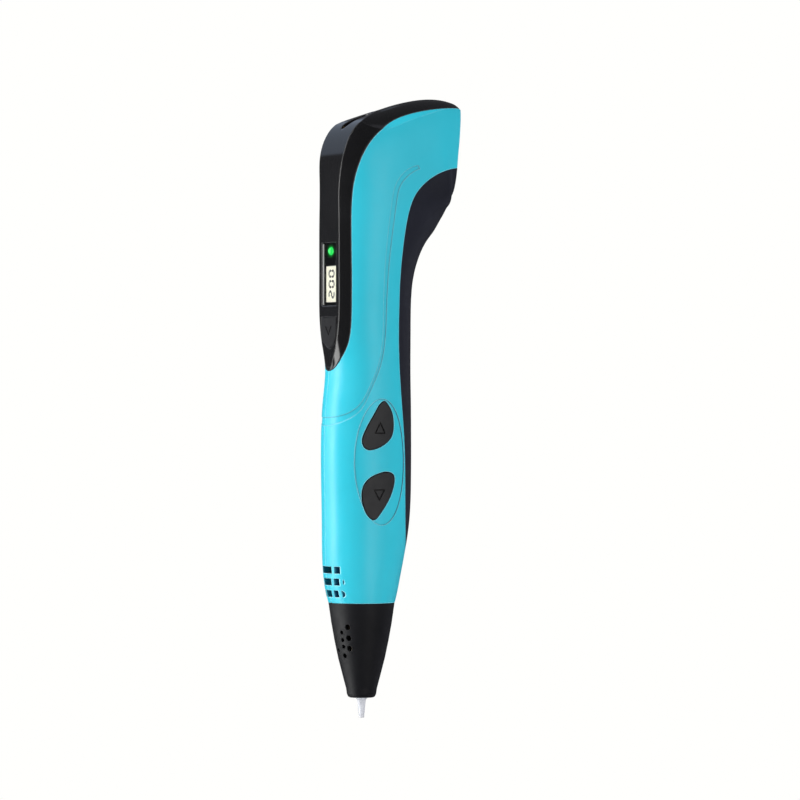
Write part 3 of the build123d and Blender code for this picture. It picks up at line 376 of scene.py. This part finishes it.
def build_materials():
    """The record's slots, each with its finish."""
    # Each edge colour below is a highlight painted on that finish's edges; each recess is shade painted in
    # its slots, grooves and gaps.
    return {
        "blue_plastic": moulded("blue_plastic", CYAN, CYAN_2, 0.36, 0.004, edge=0.55, edge_highlight=CYAN_EDGE_HIGHLIGHT,
                                 highlight_share=0.9, highlight_reach=(0.05, 0.19), recess=BLUE_RECESS_SHADE),
        "gloss_black": polished("gloss_black", (0.0052, 0.0052, 0.0056), (0.007, 0.007, 0.0076), 0.07,
                                edge=0.6, edge_highlight=(0.12, 0.12, 0.125)),
        "dark_plastic": moulded("dark_plastic", (0.0075, 0.0085, 0.0145), (0.0095, 0.0105, 0.018), 0.48,
                                0.008, edge_highlight=(0.03, 0.034, 0.045), Specular_IOR_Level=0.35),
        "black_plastic": moulded("black_plastic", (0.0045, 0.0048, 0.006), (0.007, 0.007, 0.0085), 0.50,
                                 0.010, edge_highlight=(0.035, 0.036, 0.04), Specular_IOR_Level=0.2,
                                 recess=BLACK_RECESS_SHADE),
        "button_plastic": moulded("button_plastic", (0.014, 0.0145, 0.0155), (0.020, 0.0205, 0.0215), 0.55,
                                  0.012, edge=0.16, edge_highlight=(0.07, 0.07, 0.073), recess=BLACK_RECESS_SHADE),
        "white_plastic": moulded("white_plastic", (0.62, 0.62, 0.60), (0.70, 0.70, 0.68), 0.45,
                                 edge_highlight=(0.85, 0.85, 0.84)),
        "tan_plastic": moulded("tan_plastic", (0.035, 0.024, 0.017), (0.055, 0.038, 0.026), 0.5,
                               edge_highlight=(0.12, 0.09, 0.07)),
        "switch_body": moulded("switch_body", (0.02, 0.02, 0.022), (0.035, 0.035, 0.037), 0.5),
        "chip_black": moulded("chip_black", (0.012, 0.012, 0.013), (0.022, 0.022, 0.023), 0.6, 0.014,
                              grain=9000),
        "chip_tan": moulded("chip_tan", (0.30, 0.22, 0.13), (0.38, 0.29, 0.18), 0.45),
        "thermistor_bead": moulded("thermistor_bead", (0.03, 0.02, 0.015), (0.12, 0.05, 0.02), 0.2),
        "white_tube": moulded("white_tube", (0.66, 0.67, 0.66), (0.75, 0.76, 0.75), 0.3,
                              Subsurface_Weight=0.2, Subsurface_Scale=0.001),
        "red_wire": moulded("red_wire", (0.42, 0.01, 0.012), (0.52, 0.02, 0.02), 0.4, 0.004),
        "black_wire": moulded("black_wire", (0.012, 0.012, 0.012), (0.02, 0.02, 0.02), 0.4, 0.004),
        "white_wire": moulded("white_wire", (0.6, 0.6, 0.58), (0.7, 0.7, 0.68), 0.45, 0.004),
        "brass": machined("brass", (0.66, 0.44, 0.17), (0.74, 0.53, 0.23), 0.28, (1.0, 0.15, 1.0),
                          edge_highlight=(0.95, 0.78, 0.45)),
        "steel": machined("steel", (0.52, 0.52, 0.53), (0.62, 0.62, 0.63), 0.27, (1.0, 0.15, 1.0)),
        "dark_steel": machined("dark_steel", (0.05, 0.05, 0.053), (0.08, 0.08, 0.085), 0.38, (0.2, 1.0, 1.0),
                               edge_highlight=(0.3, 0.3, 0.31)),
        "magnet": machined("magnet", (0.06, 0.06, 0.065), (0.10, 0.10, 0.105), 0.6, (1.0, 1.0, 1.0),
                           edge_highlight=(0.2, 0.2, 0.2)),
        "heater_wire": machined("heater_wire", (0.34, 0.30, 0.28), (0.20, 0.17, 0.19), 0.4, (1.0, 1.0, 1.0)),
        "rotor_metal": banded("rotor_metal", (0.42, 0.14, 0.05), (0.72, 0.30, 0.12), 2600, "Y", 0.03, 0.3,
                              metallic=1.0),
        "ribbon": banded("ribbon", (0.60, 0.60, 0.58), (0.72, 0.72, 0.70), 520, "X", 0.03),
        "insulation": braided("insulation", (0.34, 0.29, 0.20), (0.68, 0.62, 0.48), 500, 0.10),
        "ceramic": ceramic("ceramic"),
        "green_board": circuit_board("green_board"),
        "lcd_panel": lit_panel("lcd_panel", "lcd_glass"),
        "green_led": lit_dome("green_led", "status_led"),
        "clear_lens": window("clear_lens"),
    }


materials = build_materials()
for node in NODES.values():
    for index, material in enumerate(node.data.materials):
        node.data.materials[index] = materials[material.name.split(".")[0]]


# ---------------------------------------------------------------- pieces added to the CAD
def add_piece(name, bm, slot):
    """Makes the mesh a piece on the pen's body, with that slot's finish."""
    bmesh.ops.recalc_face_normals(bm, faces=bm.faces)
    mesh = bpy.data.meshes.new(name)
    bm.to_mesh(mesh)
    bm.free()
    mesh.materials.append(materials[slot])
    piece = bpy.data.objects.new(name, mesh)
    bpy.context.scene.collection.objects.link(piece)
    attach(piece, "pen")


# Seven-segment shapes on a unit cell: (reading direction, up). Each segment is a bar with pointed ends.
SEGMENTS = {
    "top": ((0, 2), (1, 2)), "middle": ((0, 1), (1, 1)), "bottom": ((0, 0), (1, 0)),
    "upper_left": ((0, 1), (0, 2)), "upper_right": ((1, 1), (1, 2)),
    "lower_left": ((0, 0), (0, 1)), "lower_right": ((1, 0), (1, 1)),
}
LIT = {
    "2": ("top", "upper_right", "middle", "lower_left", "bottom"),
    "0": ("top", "upper_left", "upper_right", "lower_left", "lower_right", "bottom"),
}
TEMPERATURE = "200"
CELL = 1.7 * MM                     # length of a segment
DIGIT_PITCH = 3.05 * MM
SEGMENT_HALF, SEGMENT_GAP = 0.36 * MM, 0.07 * MM  # half a bar's width, and what is left free at its ends
PRINT_FRONT, PRINT_BACK = 0.012 * MM, 0.002 * MM  # the segments' faces, ahead of the panel


def display_digits():
    """The set temperature, as printed segments just in front of the panel, read upwards."""
    lower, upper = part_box("lcd_glass")
    middle = (lower + upper) / 2
    half, gap = SEGMENT_HALF, SEGMENT_GAP
    front, back = lower.y - PRINT_FRONT, lower.y - PRINT_BACK
    span = DIGIT_PITCH * (len(TEMPERATURE) - 1) + CELL
    bm = bmesh.new()
    for i, digit in enumerate(TEMPERATURE):
        for name in LIT[digit]:
            (u0, v0), (u1, v1) = SEGMENTS[name]
            start, end = Vector((u0 * CELL, v0 * CELL)), Vector((u1 * CELL, v1 * CELL))
            along = (end - start).normalized()
            across = Vector((-along.y, along.x))
            outline = [start + along * gap, start + along * (gap + half) + across * half,
                       end - along * (gap + half) + across * half, end - along * gap,
                       end - along * (gap + half) - across * half,
                       start + along * (gap + half) - across * half]
            ring = []
            for u, v in outline:
                x = middle.x - (v - CELL)
                z = middle.z - span / 2 + i * DIGIT_PITCH + u
                ring.append((x, z))
            fronts = [bm.verts.new((x, front, z)) for x, z in ring]
            backs = [bm.verts.new((x, back, z)) for x, z in ring]
            bm.faces.new(fronts)
            bm.faces.new(list(reversed(backs)))
            for j in range(len(ring)):
                k = (j + 1) % len(ring)
                bm.faces.new((fronts[k], fronts[j], backs[j], backs[k]))
    add_piece("display_digits", bm, "chip_black")


display_digits()

STRIP_OUT, STRIP_IN = 0.36 * MM, 0.02 * MM  # a strip's reach in front of the window's face and behind it
STRIP_THICK, STRIP_CHAMFER = 0.05 * MM, 0.05 * MM
STRIP_SHORT = 0.2 * MM               # how far a strip stops before the window's end


def display_pale_strips():
    """Two pale strips, down the long sides of the display's recess."""
    lower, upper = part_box("display_lens")
    front, back = lower.y - STRIP_OUT, lower.y + STRIP_IN
    bm = bmesh.new()
    for wall, inward in ((lower.x, 1), (upper.x, -1)):
        inner = wall + inward * STRIP_THICK
        profile = [(wall, back), (wall, front), (wall + inward * STRIP_THICK * 0.5, front),
                   (inner, front + STRIP_CHAMFER), (inner, back)]
        rings = [[bm.verts.new((x, y, z)) for x, y in profile]
                 for z in (lower.z + STRIP_SHORT, upper.z - STRIP_SHORT)]
        for i in range(len(profile)):
            j = (i + 1) % len(profile)
            bm.faces.new((rings[0][i], rings[0][j], rings[1][j], rings[1][i]))
        bm.faces.new(rings[0])
        bm.faces.new(list(reversed(rings[1])))
    add_piece("display_pale_strips", bm, "white_plastic")


display_pale_strips()

# ---------------------------------------------------------------- floor
FLOOR_RADIUS, FLOOR_DROP = 0.36, 0.06  # the floor is a disc, that far below the nozzle's tip


def pale_floor():
    bm = bmesh.new()
    bmesh.ops.create_circle(bm, cap_ends=True, cap_tris=False, segments=128, radius=FLOOR_RADIUS)
    mesh = bpy.data.meshes.new("floor")
    bm.to_mesh(mesh)
    bm.free()
    s = Surface("floor_paper", roughness=0.8, edge=0.05)
    paper = s.graph.noise(s.coords, 900, 4)
    s.colour((0.86, 0.86, 0.85), (0.90, 0.90, 0.89), paper)
    s.relief(paper, 0.05)
    mesh.materials.append(s.done())
    floor = bpy.data.objects.new("floor", mesh)
    floor.location = (0, 0, low.z - FLOOR_DROP)
    floor.visible_glossy = False
    bpy.context.scene.collection.objects.link(floor)


pale_floor()

# ---------------------------------------------------------------- light
# Soft, broad lights that only shade; the boxes in the world below are what gloss reflects.
SHADING = [  # (right, towards camera, up, strength, spread in degrees)
    (-0.85, 0.55, 0.25, 1.30, 60),
    (0.10, 1.00, 0.15, 1.20, 80),
    (0.95, 0.10, 0.15, 1.35, 70),
    (0.00, 0.10, 1.00, 1.00, 90),
    (-0.30, -1.00, 0.30, 1.10, 90),
    (0.00, 0.40, -0.90, 0.50, 90),
]
for i, (right, near, up, strength, spread) in enumerate(SHADING):
    data = bpy.data.lights.new(f"soft_{i}", "SUN")
    data.energy = strength
    data.angle = math.radians(spread)
    light = bpy.data.objects.new(f"soft_{i}", data)
    direction = TO_RIGHT * right + TO_CAMERA * near + Vector((0, 0, up))
    light.rotation_euler = direction.to_track_quat("Z", "Y").to_euler()
    light.visible_glossy = False
    bpy.context.scene.collection.objects.link(light)

# What gloss reflects. Degrees: azimuth from the camera (middle, half width, softness), height (middle, half,
# softness), and the colour.
SOFT_BOXES = [
    (-83, 9, 6, 5, 50, 10, (6.6, 6.6, 6.5)),
    (33, 7, 10, -3, 12, 8, (2.1, 2.0, 1.95)),
    (-113, 6, 3, -7, 14, 4, (2.2, 2.2, 2.15)),
    (-128, 42, 6, 25, 11, 1.5, (0.27, 0.33, 0.43)),
    (118, 20, 10, 10, 60, 15, (0.20, 0.20, 0.23)),
]
BASE_LIGHT = (0.07, 0.072, 0.08)    # between the boxes
BACKDROP = (1.0, 1.0, 0.985)        # what the camera itself sees behind the pen


def studio_world():
    """Boxes for gloss to reflect, at fixed places round the pen, in front of a plain backdrop."""
    world = bpy.data.worlds.new("studio")
    world.use_nodes = True
    tree = world.node_tree
    tree.nodes.clear()
    g = Graph(tree)
    direction = g.add("ShaderNodeTexCoord").outputs["Generated"]
    right = g.vector("DOT_PRODUCT", direction, tuple(TO_RIGHT))
    near = g.vector("DOT_PRODUCT", direction, tuple(TO_CAMERA))
    azimuth = g.math("DEGREES", g.math("ARCTAN2", right, near))
    up = g.add("ShaderNodeSeparateXYZ", {0: direction}).outputs["Z"]
    height = g.math("DEGREES", g.math("ARCSINE", up))
    total = None
    for middle, half, soft, level, rise, blur, colour in SOFT_BOXES:
        off = g.math("ABSOLUTE", g.math("SUBTRACT", azimuth, middle))
        off_up = g.math("ABSOLUTE", g.math("SUBTRACT", height, level))
        mask = g.math("MULTIPLY", g.ramp(off, half, half + soft, 1.0, 0.0),
                      g.ramp(off_up, rise, rise + blur, 1.0, 0.0))
        box = g.mix(mask, rgba(BASE_LIGHT if total is None else (0, 0, 0)), rgba(colour))
        total = box if total is None else g.vector("ADD", total, box)
    seen = g.add("ShaderNodeLightPath").outputs["Is Camera Ray"]
    shown = g.mix(seen, total, rgba(BACKDROP))
    background = g.add("ShaderNodeBackground", {"Color": shown})
    output = g.add("ShaderNodeOutputWorld")
    tree.links.new(background.outputs[0], output.inputs[0])
    bpy.context.scene.world = world


studio_world()
